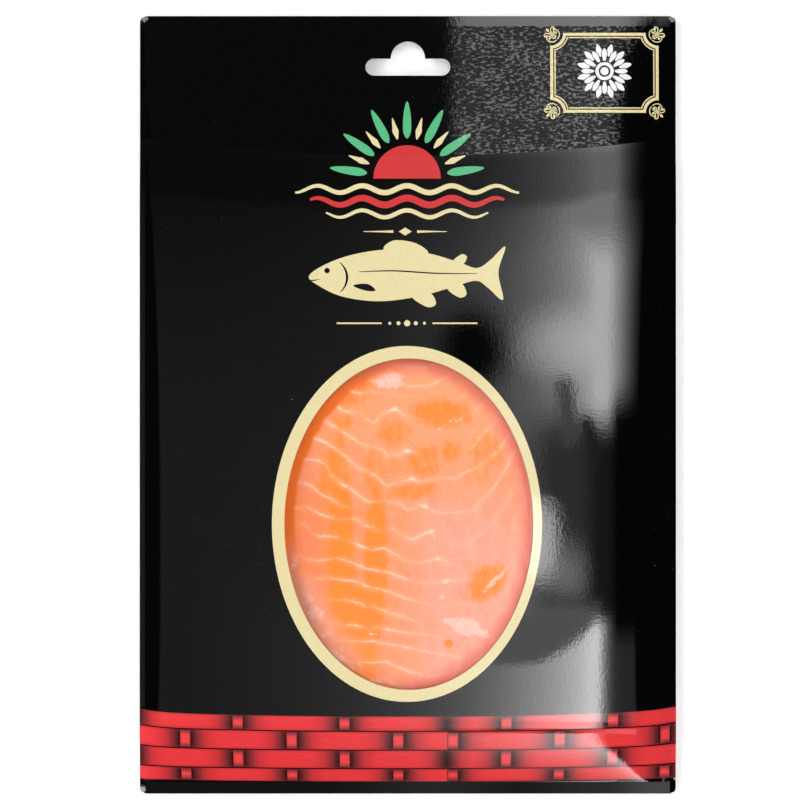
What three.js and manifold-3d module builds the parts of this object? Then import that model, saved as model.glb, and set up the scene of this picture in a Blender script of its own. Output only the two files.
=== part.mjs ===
// A flat retail pack of sliced smoked salmon: a folded board sleeve with an oval window and a hang hole,
// and the sealed clear pouch of slices inside it.
// Millimetres, +Z up. The pack lies on its back, its window up and its hang hole towards +Y.
// The origin lies under the middle of the pack, in the plane that its back rests on.
import * as THREE from "three";
import { mergeVertices } from "three/addons/utils/BufferGeometryUtils.js";
import Module from "manifold-3d";

// Sleeve
const WIDTH = 200; // from side fold to side fold
const LENGTH = 290; // from the bottom edge to the top edge
const BOARD = 0.5; // thickness of the board
const CORNER_RADIUS = 1.8; // worn outer corners
const EDGE_LIFT = 1.2; // how far the edges stand off the table
const BACK_MARGIN = 22; // how far in from the edges the back comes down to the table
const SIDE_FOLD = 2.2; // thickness over both boards at the side folds
const FOLD_STRIP = 2.2; // flat strip along each side fold, outside the crease
const PRESSED = 1.15; // thickness over both boards where they are glued together
const BOTTOM_SEAM = 4.5; // glued strip along the bottom edge
const BOTTOM_DROOP = 0.6; // how far that strip bends down towards the table
const HEADER = 52.5; // length of the glued header, on the middle line
const HEADER_BOW = 7; // how much shorter the header is at the side folds
const HEADER_SLOPE = 0.052; // the header falls this much for each millimetre towards its cut edge
const HEADER_BEND = 30; // length over which the back board rises from the table to the header
const CROWN_RISE = 6.8; // how far the contents lift the front board
const CROWN_Y = -34; // where along the pack the front board stands highest
const SIDE_FULLNESS = 16; // powers of the front board's section, across and towards the bottom
const BOTTOM_FULLNESS = 6;

// Oval window, die-cut in the front board
const WINDOW = { x: 0.3, y: -44, halfWidth: 45.9, halfLength: 61.2 };

// Hang hole through both boards: a slot with a round hump
const HANG_HOLE = { fromTop: 22.4, halfWidth: 15.8, slotRadius: 3.2, humpRadius: 6.4 };

// Pouch
const GAP = 0.3; // between the pouch and the board
const POUCH = { halfWidth: 88, bottom: -134, top: 84 };
const SEAL = { width: 8, thickness: 0.6 }; // flat sealed rim
const SHOULDER = 9; // how far in from the seal the slices reach their full height
const SLACK = { left: 1.9, right: 0.3 }; // how far the slices lie below the front board at the window's sides
// The top slice ends along an arc at the lower left of the window, over the slice below it
const SLICE_EDGE = { x: 110, y: 20, radius: 172.5, drop: 1.1, width: 4 };

const OVERSHOOT = 5; // how far cutting shapes pass the faces they cut

const HALF_WIDTH = WIDTH / 2;
const HALF_LENGTH = LENGTH / 2;
const HEADER_Y = HALF_LENGTH - HEADER;
const BOTTOM_CREASE = -HALF_LENGTH + BOTTOM_SEAM;

const clamp = (t) => Math.min(1, Math.max(0, t));
const ramp = (t) => clamp(t) ** 2 * (3 - 2 * clamp(t));

// Evenly spaced values, both ends included
const span = (from, to, steps) =>
  Array.from({ length: steps + 1 }, (_, i) => from + ((to - from) * i) / steps);

// The same, but closer together near both ends, where the boards curve most
const graded = (from, to, steps) =>
  span(-Math.PI / 2, Math.PI / 2, steps).map((angle) => from + ((to - from) * (1 + Math.sin(angle))) / 2);

// ---- The boards' outer faces ----

const headerLine = (x) => HEADER_Y + HEADER_BOW * (x / HALF_WIDTH) ** 2;

// 0 in the glued strips at both ends of the pack, 1 from BACK_MARGIN in
const openness = (x, y) => ramp(Math.min(headerLine(x) - y, y - BOTTOM_CREASE) / BACK_MARGIN);

// 1 in the middle of the pack, 0 outside the creases along the side folds
const across = (x) => 1 - clamp(Math.abs(x) / (HALF_WIDTH - FOLD_STRIP)) ** SIDE_FULLNESS;

const bottomDroop = (y) => BOTTOM_DROOP * clamp((BOTTOM_CREASE - y) / BOTTOM_SEAM);

// How far the middle of the front board stands above the side folds. It falls in one smooth curve from the
// crown to the header, which goes on straight down to its cut edge.
function frontLift(x, y) {
  if (y < CROWN_Y) {
    return CROWN_RISE * (1 - clamp((CROWN_Y - y) / (CROWN_Y - BOTTOM_CREASE)) ** BOTTOM_FULLNESS);
  }
  const line = headerLine(x);
  const headerRise = HEADER_SLOPE * (HALF_LENGTH - line);
  const fall = CROWN_RISE - headerRise;
  const fullness = (HEADER_SLOPE * (line - CROWN_Y)) / fall;
  const curve = CROWN_RISE - fall * ((y - CROWN_Y) / (line - CROWN_Y)) ** fullness;
  return y > line ? HEADER_SLOPE * (HALF_LENGTH - y) : curve;
}

// The same for the back board, which lies flat on the table below the header
function backLift(x, y) {
  const line = headerLine(x);
  return HEADER_SLOPE * (HALF_LENGTH - Math.max(y, line)) * (1 - ramp((line - y) / HEADER_BEND));
}

function backZ(x, y) {
  const fromSide = ramp((HALF_WIDTH - Math.abs(x)) / BACK_MARGIN);
  const edge = EDGE_LIFT * (1 - fromSide * openness(x, y)) - bottomDroop(y);
  return edge + across(x) * backLift(x, y);
}

function frontZ(x, y) {
  const thickness = PRESSED + (SIDE_FOLD - PRESSED) * openness(x, y);
  return EDGE_LIFT - bottomDroop(y) + thickness + across(x) * frontLift(x, y);
}

// Half the sleeve's width at y: full, apart from the round corners
function sleeveHalfWidth(y) {
  const intoCorner = clamp((Math.abs(y) - HALF_LENGTH + CORNER_RADIUS) / CORNER_RADIUS);
  return HALF_WIDTH - CORNER_RADIUS * (1 - Math.sqrt(1 - intoCorner ** 2));
}

// ---- Solids ----

const wasm = await Module();
wasm.setup();

function solidOf(geometry) {
  const bare = geometry.clone();
  bare.deleteAttribute("normal");
  bare.deleteAttribute("uv");
  const merged = mergeVertices(bare, 1e-4);
  const vertProperties = new Float32Array(merged.attributes.position.array);
  const triVerts = new Uint32Array(merged.index.array);
  return new wasm.Manifold(new wasm.Mesh({ numProp: 3, vertProperties, triVerts }));
}

function geometryOf(solid) {
  const mesh = solid.getMesh();
  const geometry = new THREE.BufferGeometry();
  geometry.setAttribute("position", new THREE.BufferAttribute(mesh.vertProperties, 3));
  geometry.setIndex(new THREE.BufferAttribute(mesh.triVerts, 1));
  geometry.computeVertexNormals();
  return geometry;
}

// One ring across the pack at y: along the top face, round the right edge, back along the bottom face and
// round the left edge. top and bottom give the faces' heights, and both edges are half circles between them.
function ringAt(y, half, { top, bottom, topShares, bottomShares, edgeSteps }) {
  const edgeRadius = (top(half, y) - bottom(half, y)) / 2;
  const middle = (top(half, y) + bottom(half, y)) / 2;
  const reach = half - edgeRadius;
  const edge = (side) =>
    span(0, Math.PI, edgeSteps).slice(1, -1).map((angle) => [
      side * (reach + edgeRadius * Math.sin(angle)),
      y,
      middle + side * edgeRadius * Math.cos(angle),
    ]);
  const rightwards = topShares.map((share) => [share * reach, y, top(share * reach, y)]);
  const leftwards = bottomShares.map((share) => [-share * reach, y, bottom(-share * reach, y)]);
  return [...rightwards, ...edge(1), ...leftwards, ...edge(-1)];
}

const capOver = (ring) =>
  THREE.ShapeUtils.triangulateShape(ring.map(([x, , z]) => new THREE.Vector2(x, z)), []);

// Joins rings of equal length into one closed body, with a flat cap over each end.
function loft(rings) {
  const count = rings[0].length;
  const lastRing = (rings.length - 1) * count;
  const faces = [];
  for (let i = 0; i < count; i++) {
    const next = (i + 1) % count;
    for (let start = 0; start < lastRing; start += count) {
      faces.push(start + i, start + next, start + next + count);
      faces.push(start + i, start + next + count, start + i + count);
    }
  }
  capOver(rings[0]).forEach(([a, b, c]) => faces.push(a, b, c));
  capOver(rings[rings.length - 1]).forEach(([a, b, c]) => faces.push(lastRing + a, lastRing + c, lastRing + b));
  const geometry = new THREE.BufferGeometry();
  geometry.setAttribute("position", new THREE.Float32BufferAttribute(rings.flat(2), 3));
  geometry.setIndex(faces);
  return geometry;
}

// ---- Sleeve ----

const backFlat = (HALF_WIDTH - BACK_MARGIN) / HALF_WIDTH;
const SLEEVE_SECTION = {
  topShares: graded(-1, 1, 18),
  bottomShares: [...span(-1, -backFlat, 3), ...span(backFlat, 1, 3)],
  edgeSteps: 4,
};

function sleeveOuter() {
  const cornerRows = [0, 0.3, 1].map((share) => HALF_LENGTH - CORNER_RADIUS * share);
  const openRows = graded(BOTTOM_CREASE, HEADER_Y + HEADER_BOW, 24);
  const rows = [...cornerRows.map((y) => -y), ...openRows, ...cornerRows.reverse()];
  const section = { ...SLEEVE_SECTION, top: frontZ, bottom: backZ };
  return loft(rows.map((y) => ringAt(y, sleeveHalfWidth(y), section)));
}

function sleeveHollow() {
  const section = {
    ...SLEEVE_SECTION,
    top: (x, y) => frontZ(x, y) - BOARD,
    bottom: (x, y) => backZ(x, y) + BOARD,
  };
  return loft(graded(BOTTOM_CREASE, HEADER_Y, 22).map((y) => ringAt(y, HALF_WIDTH - BOARD, section)));
}

function windowCutter() {
  const { x, y, halfWidth, halfLength } = WINDOW;
  const outline = new THREE.Shape().absellipse(x, y, halfWidth, halfLength, 0, 2 * Math.PI, false, 0);
  const depth = CROWN_RISE + OVERSHOOT;
  const cutter = new THREE.ExtrudeGeometry(outline, { depth, bevelEnabled: false, curveSegments: 72 });
  return cutter.translate(0, 0, EDGE_LIFT + CROWN_RISE / 2);
}

function hangHoleCutter() {
  const { fromTop, halfWidth, slotRadius, humpRadius } = HANG_HOLE;
  const slotBottom = HALF_LENGTH - fromTop;
  const slotTop = slotBottom + 2 * slotRadius;
  const slotEnd = halfWidth - slotRadius;
  const quarter = Math.PI / 2;
  const outline = new THREE.Shape();
  outline.absarc(slotEnd, slotBottom + slotRadius, slotRadius, -quarter, quarter, false);
  outline.absarc(0, slotTop, humpRadius, 0, 2 * quarter, false);
  outline.absarc(-slotEnd, slotBottom + slotRadius, slotRadius, quarter, 3 * quarter, false);
  const depth = EDGE_LIFT + PRESSED + 2 * OVERSHOOT;
  const cutter = new THREE.ExtrudeGeometry(outline, { depth, bevelEnabled: false, curveSegments: 14 });
  return cutter.translate(0, 0, -OVERSHOOT);
}

function sleeveGeometry() {
  const cutters = [sleeveHollow(), windowCutter(), hangHoleCutter()].map(solidOf);
  return geometryOf(cutters.reduce((solid, cutter) => solid.subtract(cutter), solidOf(sleeveOuter())));
}

// ---- Pouch of slices ----

function sliceStep(x, y) {
  const pastEdge = Math.hypot(x - SLICE_EDGE.x, y - SLICE_EDGE.y) - SLICE_EDGE.radius;
  return SLICE_EDGE.drop * ramp(pastEdge / SLICE_EDGE.width);
}

// 0 on the sealed rim, 1 over the slices
function fullness(x, y) {
  const fromSide = POUCH.halfWidth - SEAL.width - Math.abs(x);
  const fromEnd = Math.min(POUCH.top - y, y - POUCH.bottom) - SEAL.width;
  return ramp(fromSide / SHOULDER) * ramp(fromEnd / SHOULDER);
}

const pouchBottomZ = (x, y) => backZ(x, y) + BOARD + GAP;

function pouchTopZ(x, y) {
  const seal = pouchBottomZ(x, y) + SEAL.thickness;
  const rightwards = clamp((x - WINDOW.x + WINDOW.halfWidth) / (2 * WINDOW.halfWidth));
  const slack = SLACK.left + (SLACK.right - SLACK.left) * rightwards;
  const full = frontZ(x, y) - BOARD - GAP - slack - sliceStep(x, y);
  return seal + (full - seal) * fullness(x, y);
}

function pouchGeometry() {
  const { halfWidth, bottom, top } = POUCH;
  // Distances in from the pouch's edge at which its section bends
  const bends = [0, ...span(SEAL.width, SEAL.width + SHOULDER, 3)];
  const windowReach = WINDOW.halfWidth + OVERSHOOT;
  const rightShares = bends.map((inwards) => (halfWidth - inwards) / halfWidth);
  const leftShares = rightShares.map((share) => -share);
  const windowShares = span(-windowReach / halfWidth, windowReach / halfWidth, 20);
  const flatBack = (HALF_WIDTH - BACK_MARGIN) / halfWidth;
  const section = {
    top: pouchTopZ,
    bottom: pouchBottomZ,
    topShares: [...leftShares, ...windowShares, ...rightShares.reverse()],
    bottomShares: [...span(-1, -flatBack, 2), ...span(flatBack, 1, 2)],
    edgeSteps: 2,
  };
  const windowTop = WINDOW.y + WINDOW.halfLength + OVERSHOOT;
  const aboveWindow = span(windowTop, top - SEAL.width - SHOULDER, 4).slice(1, -1);
  const rows = [
    ...bends.map((inwards) => bottom + inwards),
    ...span(WINDOW.y - WINDOW.halfLength, windowTop, 30),
    ...aboveWindow,
    ...bends.map((inwards) => top - inwards).reverse(),
  ];
  return loft(rows.map((y) => ringAt(y, halfWidth, section)));
}

// ---- The pack ----

const printedBoard = new THREE.MeshStandardMaterial({ color: 0x141414, roughness: 0.25, metalness: 0 });
const salmonUnderFilm = new THREE.MeshStandardMaterial({ color: 0xf29a6b, roughness: 0.3, metalness: 0 });

function piece(name, geometry, material) {
  const mesh = new THREE.Mesh(geometry, material);
  mesh.name = name;
  return mesh;
}

const pack = new THREE.Group();
pack.add(piece("sleeve", sleeveGeometry(), printedBoard));
pack.add(piece("pouch", pouchGeometry(), salmonUnderFilm));

export default pack;
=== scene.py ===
"""The looks of a flat retail pack of sliced smoked salmon: a printed, varnished board sleeve with an oval
window and a hang hole, and in it a sealed clear pouch with slices of fish.

Shapes are worked out in millimetres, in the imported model's frame, and turned into metres where a mesh or a
light is made. The pack lies on its back, its window up (+Z) and its hang hole towards +Y.
"""
import math

import bpy
import numpy as np
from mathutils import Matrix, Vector, geometry


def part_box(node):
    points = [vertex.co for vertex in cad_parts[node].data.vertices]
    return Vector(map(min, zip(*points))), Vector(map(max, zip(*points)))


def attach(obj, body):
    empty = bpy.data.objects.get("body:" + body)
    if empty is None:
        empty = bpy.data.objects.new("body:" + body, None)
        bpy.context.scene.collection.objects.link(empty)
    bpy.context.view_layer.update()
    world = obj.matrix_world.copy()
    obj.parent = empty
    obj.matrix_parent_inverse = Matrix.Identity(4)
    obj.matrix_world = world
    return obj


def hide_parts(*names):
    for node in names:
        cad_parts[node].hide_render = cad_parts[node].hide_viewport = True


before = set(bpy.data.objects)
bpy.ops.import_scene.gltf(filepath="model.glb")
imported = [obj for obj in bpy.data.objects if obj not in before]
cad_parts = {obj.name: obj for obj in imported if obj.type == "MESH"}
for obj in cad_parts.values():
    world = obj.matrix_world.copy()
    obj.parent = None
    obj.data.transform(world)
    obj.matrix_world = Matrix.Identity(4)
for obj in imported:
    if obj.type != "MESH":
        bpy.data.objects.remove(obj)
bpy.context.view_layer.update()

MM = 0.001


# ---- Sizes, in millimetres ----

def box_of(node):
    """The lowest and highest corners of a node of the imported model."""
    low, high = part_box(node)
    return np.array(low) / MM, np.array(high) / MM


sleeve_low, sleeve_high = box_of("sleeve")
pouch_low, pouch_high = box_of("pouch")

HALF_WIDTH = (sleeve_high[0] - sleeve_low[0]) / 2
HALF_LENGTH = (sleeve_high[1] - sleeve_low[1]) / 2
BOARD = 0.5  # thickness of the board
CORNER_RADIUS = 1.8
EDGE_LIFT = 1.2  # how high the back's edges lie
BACK_MARGIN = 22  # how far in from its edges the back comes down to the ground
SIDE_FOLD = 2.2  # over both boards at a side, where they are apart
PRESSED = 1.15  # over both boards at a side, where they are glued
FOLD_STRIP = 2.2  # from a side to the crease beside it
BOTTOM_SEAM = 4.5  # the glued strip along the bottom edge
BOTTOM_DROOP = 0.6
HEADER = 52.5  # length of the glued header along its middle
HEADER_BOW = 7  # how much shorter it is at the sides
HEADER_SLOPE = 0.052
HEADER_BEND = 30  # run over which the back bends up to the header
CROWN_RISE = sleeve_high[2] - EDGE_LIFT - SIDE_FOLD
CROWN_Y = -34  # where the front lies highest
# Powers of the front's fall to its edges: the higher, the flatter the middle and the steeper the edge
SIDE_FULLNESS = 16
BOTTOM_FULLNESS = 6
WINDOW = (0.3, -44, 45.9, 61.2)  # centre, half width, half length
HANG_HOLE = {"from_top": 22.4, "half_width": 15.8, "slot_radius": 3.2, "hump_radius": 6.4}
GAP = 0.3  # between a board and the pouch
SEAL_WIDTH = 8
SEAL_THICKNESS = 0.6
SHOULDER = 9  # run over which the pouch swells from its seal to its full height
# Further room between the front board and the slices, at the window's left and right
SLACK_LEFT = 1.9
SLACK_RIGHT = 0.3
# The end of a slice: part of a circle, with a step down to its left
SLICE_EDGE = {"x": 110, "y": 20, "radius": 172.5, "drop": 0.3, "width": 8}
FILM = 0.12  # film and the fish's own moisture, between the film's outer face and the flesh
RELIEF_ROOM = 0.1  # further down to the middle of the flesh's ridges

POUCH_HALF_WIDTH = (pouch_high[0] - pouch_low[0]) / 2
POUCH_BOTTOM = pouch_low[1]
POUCH_TOP = pouch_high[1]
HEADER_Y = HALF_LENGTH - HEADER
BOTTOM_CREASE = -HALF_LENGTH + BOTTOM_SEAM

# The glued seam along the back: the outer board's cut edge, and how far the flap under it reaches
SEAM_X = -70
FLAP = 12
HALF_CREASE = 0.06  # half the width of the crease above the glued strip at the bottom


# ---- The boards' faces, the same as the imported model's ----

def clamp(t):
    return np.clip(t, 0, 1)


def ramp(t):
    return clamp(t) ** 2 * (3 - 2 * clamp(t))


def header_line(x):
    return HEADER_Y + HEADER_BOW * (x / HALF_WIDTH) ** 2


def openness(x, y):
    return ramp(np.minimum(header_line(x) - y, y - BOTTOM_CREASE) / BACK_MARGIN)


def across(x):
    return 1 - clamp(np.abs(x) / (HALF_WIDTH - FOLD_STRIP)) ** SIDE_FULLNESS


def bottom_droop(y):
    return BOTTOM_DROOP * clamp((BOTTOM_CREASE - y) / BOTTOM_SEAM)


def front_lift(x, y):
    line = header_line(x)
    header_rise = HEADER_SLOPE * (HALF_LENGTH - line)
    fall = CROWN_RISE - header_rise
    fullness = HEADER_SLOPE * (line - CROWN_Y) / fall
    curve = CROWN_RISE - fall * clamp((y - CROWN_Y) / (line - CROWN_Y)) ** fullness
    bottom = CROWN_RISE * (1 - clamp((CROWN_Y - y) / (CROWN_Y - BOTTOM_CREASE)) ** BOTTOM_FULLNESS)
    return np.where(y < CROWN_Y, bottom, np.where(y > line, HEADER_SLOPE * (HALF_LENGTH - y), curve))


def back_lift(x, y):
    line = header_line(x)
    return HEADER_SLOPE * (HALF_LENGTH - np.maximum(y, line)) * (1 - ramp((line - y) / HEADER_BEND))


def back_z(x, y):
    from_side = ramp((HALF_WIDTH - np.abs(x)) / BACK_MARGIN)
    edge = EDGE_LIFT * (1 - from_side * openness(x, y)) - bottom_droop(y)
    return edge + across(x) * back_lift(x, y)


def front_z(x, y):
    thickness = PRESSED + (SIDE_FOLD - PRESSED) * openness(x, y)
    return EDGE_LIFT - bottom_droop(y) + thickness + across(x) * front_lift(x, y)


def sleeve_half_width(y):
    into_corner = clamp((np.abs(y) - HALF_LENGTH + CORNER_RADIUS) / CORNER_RADIUS)
    return HALF_WIDTH - CORNER_RADIUS * (1 - np.sqrt(1 - into_corner ** 2))


def random_waves(x, y, seed, count, lengths, height=0, slope=0):
    """Straight waves in all directions, added up. A part of a wave's height can grow with its length."""
    draws = np.random.default_rng(seed)
    total = 0
    for _ in range(count):
        angle, phase = draws.uniform(0, 2 * math.pi, 2)
        wavelength = draws.uniform(*lengths)
        along = x * math.cos(angle) + y * math.sin(angle)
        total = total + (height + slope * wavelength) * np.sin(2 * math.pi * along / wavelength + phase)
    return total


def waviness(x, y):
    """Slow waves that a thin board has over soft contents."""
    return random_waves(x, y, seed=11, count=9, lengths=(22, 60), slope=0.00008) * across(x) * openness(x, y)


# ---- Outlines ----

QUARTERS = ((-1, -1), (1, -1), (1, 1), (-1, 1))  # a rectangle's corners, as signs


def arc(centre, radii, start, end, steps):
    """Points on an ellipse's arc. Angles in degrees."""
    angles = np.radians(np.linspace(start, end, steps))
    return np.stack([centre[0] + radii[0] * np.cos(angles), centre[1] + radii[1] * np.sin(angles)], 1)


def ellipse(centre, radii, steps=160):
    return arc(centre, radii, 0, 360, steps + 1)[:-1]


def circle(centre, radius, steps):
    return ellipse(centre, (radius, radius), steps)


def rectangle(left, bottom, right, top):
    return np.array([(left, bottom), (right, bottom), (right, top), (left, top)], float)


def turned(points, degrees, centre=(0, 0)):
    angle = math.radians(degrees)
    turn = np.array([(math.cos(angle), -math.sin(angle)), (math.sin(angle), math.cos(angle))])
    return (np.asarray(points, float) - centre) @ turn.T + centre


def smooth(points, steps=8, closed=True):
    """A curve through the given points, with soft turns between them."""
    points = np.asarray(points, float)
    count = len(points)
    if closed:
        control = np.concatenate([points[-1:], points, points[:2]])
    else:
        control = np.concatenate([points[:1], points, points[-1:]])
        count -= 1
    t = np.linspace(0, 1, steps, endpoint=False)[:, None]
    pieces = []
    for i in range(count):
        a, b, c, d = control[i:i + 4]
        pieces.append(b + t * (c - a) / 2 + t ** 2 * (a - 2.5 * b + 2 * c - d / 2)
                      + t ** 3 * (1.5 * (b - c) + (d - a) / 2))
    if not closed:
        pieces.append(points[-1:])
    return np.concatenate(pieces)


def stroke(path, width):
    """The outline of a line of the given width, or widths, along a path."""
    path = np.asarray(path, float)
    direction = np.gradient(path, axis=0)
    direction /= np.linalg.norm(direction, axis=1)[:, None]
    side = np.stack([-direction[:, 1], direction[:, 0]], 1) * np.reshape(width, (-1, 1)) / 2
    return np.concatenate([path - side, (path + side)[::-1]])


def hang_hole_outline():
    hole = HANG_HOLE
    bottom = HALF_LENGTH - hole["from_top"]
    top = bottom + 2 * hole["slot_radius"]
    end = hole["half_width"] - hole["slot_radius"]
    middle = bottom + hole["slot_radius"]
    round_end = (hole["slot_radius"],) * 2
    return np.concatenate([
        arc((end, middle), round_end, -90, 90, 19),
        arc((0, top), (hole["hump_radius"],) * 2, 0, 180, 37),
        arc((-end, middle), round_end, 90, 270, 19),
    ])


# ---- Print: fields of ink on the unfolded board, in painting order ----

BLACK, CREAM, RED, GREEN, WHITE, WEAVE, BARE, HOLE = range(8)

BAND_ROWS = [BOTTOM_CREASE, -135.2, -127.95, -120.7, -114.9]  # edges of the woven band's rows
BAND_JOIN = 14.6  # where the band's two lengths of pattern meet on the front
# The band's rows bow up at the sides: where that starts, over what run, and how far its top and bottom rise
BAND_BOW = {"from": 10, "run": 90, "left": 1.75, "right": 2.6, "low_share": 0.5}
RING = {"centre": (-0.35, -43.9), "radii": (49.8, 65.7)}  # round the window
FRAME = {"centre": (73.2, 123.7), "half": (20.2, 15.0), "scoop": 3.9, "shoulder": 0.9, "fleuron_inset": 0.9}


def band_print():
    s = np.linspace(INNER_END, OUTER_END, 161)
    rise = clamp((np.abs(s) - BAND_BOW["from"]) / BAND_BOW["run"]) ** 2
    rise = rise * np.where(s > 0, BAND_BOW["right"], BAND_BOW["left"])
    bottom = np.stack([s, BAND_ROWS[0] + rise * BAND_BOW["low_share"]], 1)
    top = np.stack([s, BAND_ROWS[-1] + rise], 1)
    return [(WEAVE, np.concatenate([bottom, top[::-1]]))]


def ring_print():
    return [(CREAM, ellipse(RING["centre"], RING["radii"]))]


def sun_emblem():
    """A half sun with rays over three waves."""
    centre = np.array((-0.3, 84.0))
    shapes = [(RED, centre + arc((0, 0), (12.5, 12.5), 0, 180, 49))]
    rays = 13
    lowest = 8
    for k in range(rays):
        reach, half, ink = (29, 1.5, GREEN) if k % 2 == 0 else (23.5, 1.1, CREAM)
        ray = smooth([
            (15, 0), (18, -half), (reach - 4, -half * 0.8), (reach, 0), (reach - 4, half * 0.8), (18, half),
        ], 5)
        shapes.append((ink, centre + turned(ray, lowest + k * (180 - 2 * lowest) / (rays - 1))))
    waves = ((-4.0, 41.5, 2.0, CREAM), (-8.6, 36.0, 2.6, RED), (-13.2, 30.0, 1.6, CREAM))
    for depth, half, width, ink in waves:
        x = np.linspace(-half, half, 97)
        path = np.stack([x, depth + 1.3 * np.cos(2 * math.pi * x / 16.6)], 1)
        taper = np.sqrt(clamp(1.02 - (x / half) ** 2))
        shapes.append((ink, centre + stroke(path, width * (0.25 + 0.75 * taper))))
    return shapes


def divider():
    """A short rule with a diamond in its middle."""
    x, y = -1, 64.2
    diamond = np.array([(-2.4, 0), (0, -1.5), (2.4, 0), (0, 1.5)])
    shapes = [(CREAM, diamond + (x, y))]
    for side in (-1, 1):
        tip = [(x + side * 15.5, y), (x + side * 9, y), (x + side * 4.4, y)]
        shapes.append((CREAM, stroke(smooth(tip, 8, closed=False), np.linspace(0.2, 1.0, 17))))
    return shapes


def fish_emblem():
    """A plain fish, seen from its side."""
    centre = np.array((-0.5, 48.2))
    scale = 0.88
    body = smooth([
        (-41, -0.6), (-34, 4.4), (-22, 8.6), (-7, 10.6), (9, 9.0), (22, 5.2), (29.5, 2.8), (35, 6.0),
        (41.5, 11.8), (38.6, 1), (40.5, -10.6), (34, -5.4), (29, -2.6), (19, -5.4), (4, -9.4), (-12, -11.2),
        (-27, -9.2), (-37, -4.6),
    ], 8)
    back_fin = smooth([(-9, 10.2), (-5.5, 14.4), (4, 13.2), (8.6, 8.8)], 6)
    small_fin = smooth([(19.5, 5.6), (23.2, 8.6), (25.4, 7.4), (23.6, 4.4)], 6)
    belly_fin = smooth([(2, -9), (8.5, -13.6), (12.4, -12.2), (9.6, -7.6)], 6)
    tail_side_fin = smooth([(17, -5.6), (22, -9.6), (25.2, -8.2), (23, -3.8)], 6)
    gill_path = arc((-34.5, -1.2), (9.5, 8.6), -46, 48, 25)
    gill = stroke(gill_path, 0.25 + 0.75 * np.sin(np.linspace(0, math.pi, len(gill_path))))
    side_path = smooth([(-20, 1.2), (-5, 1.6), (12, 0.6), (30, 0.4)], 8, closed=False)
    side_line = stroke(side_path, 0.15 + 0.45 * np.sin(np.linspace(0.2, math.pi - 0.1, len(side_path))))
    side_fin = smooth([(-22.5, -4.6), (-17, -6.8), (-13, -6.6), (-16.5, -3.9)], 6)
    mouth = stroke([(-41.6, -2.6), (-38.6, -2.4), (-36.2, -1.8)], [0.5, 0.45, 0.1])
    eye = circle((-33.4, 1.7), 1.15, 28)
    light_parts = [(CREAM, part) for part in (back_fin, small_fin, belly_fin, tail_side_fin, body)]
    dark_parts = [(BLACK, part) for part in (gill, side_line, side_fin, mouth, eye)]
    return [(ink, centre + part * scale) for ink, part in light_parts + dark_parts]


def dotted_rule():
    """A thin rule with a row of dots in its middle."""
    x, y = -0.3, 30.2
    radii = (1.15, 0.75, 0.55)  # from the middle dot outwards
    shapes = [(CREAM, circle((x + 3.2 * k, y), radii[abs(k)], 28)) for k in range(-2, 3)]
    for side in (-1, 1):
        ends = sorted((x + side * 26, x + side * 9.4))
        shapes.append((CREAM, rectangle(ends[0], y - 0.3, ends[1], y + 0.3)))
    return shapes


def frame_outline(inset):
    """A rectangle with a round scoop and small square shoulders at each corner, moved in by inset."""
    shoulder_end = FRAME["scoop"] + FRAME["shoulder"] + inset
    radius = math.hypot(FRAME["scoop"] + FRAME["shoulder"], FRAME["shoulder"]) + inset
    low = math.degrees(math.acos(shoulder_end / radius))
    scoop = arc((0, 0), (radius, radius), low, 90 - low, 9)
    corner = np.concatenate([[(shoulder_end, inset)], scoop, [(inset, shoulder_end)]])
    points = []
    for side_x, side_y in QUARTERS:
        part = (np.array(FRAME["half"]) - corner) * (side_x, side_y)
        points.append(part if side_x * side_y < 0 else part[::-1])
    return np.concatenate(points) + FRAME["centre"]


def fleuron(corner, outwards):
    """Two pairs of scrolls, back to back on a stem that ends in a bud, pointing away from the frame."""
    scrolls = [
        [(-2.3, 0.2), (-2, 1.5), (-0.9, 2.5), (0.5, 2.5), (1, 1.7), (0.4, 1.1), (-0.3, 1.4), (-0.2, 1.9)],
        [(-1.5, 0), (-1, 0.7), (0.2, 0.5), (1.4, 0.6), (2.3, 1.4), (2.1, 2.3), (1.4, 2.4), (1.3, 1.8)],
    ]
    shapes = []
    for side in (-1, 1):
        for points in scrolls:
            path = smooth(points, 5, closed=False)
            shapes.append(stroke(path * (1, side), np.linspace(0.34, 0.42, len(path))))
        shapes.append(circle((-0.1, 1.75 * side), 0.38, 12))
        shapes.append(circle((1.4, 1.95 * side), 0.36, 12))
    shapes.append(stroke([(-1.5, 0), (0.5, 0), (2.2, 0)], 0.36))
    shapes.append(smooth([(1.9, 0), (2.6, -0.5), (3.5, 0), (2.6, 0.5)], 5))
    return [(CREAM, turned(shape, outwards) + corner) for shape in shapes]


def header_frame():
    """A broad line and a thin one inside it, with a fleuron at each corner."""
    broad, gap, thin = 1.1, 0.45, 0.45
    insets = (0, broad, broad + gap, broad + gap + thin)
    shapes = [(ink, frame_outline(inset)) for ink, inset in zip((CREAM, BLACK) * 2, insets)]
    reach = np.array(FRAME["half"]) - FRAME["fleuron_inset"]
    for quarter, outwards in zip(QUARTERS, (225, 315, 45, 135)):
        shapes += fleuron(np.array(FRAME["centre"]) + reach * quarter, outwards)
    return shapes


def petal(inner, outer, half, widest):
    """A petal along +X, with its half width where it is widest."""
    return smooth([(inner, 0), (widest, -half), (outer, 0), (widest, half)], 6)


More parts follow.
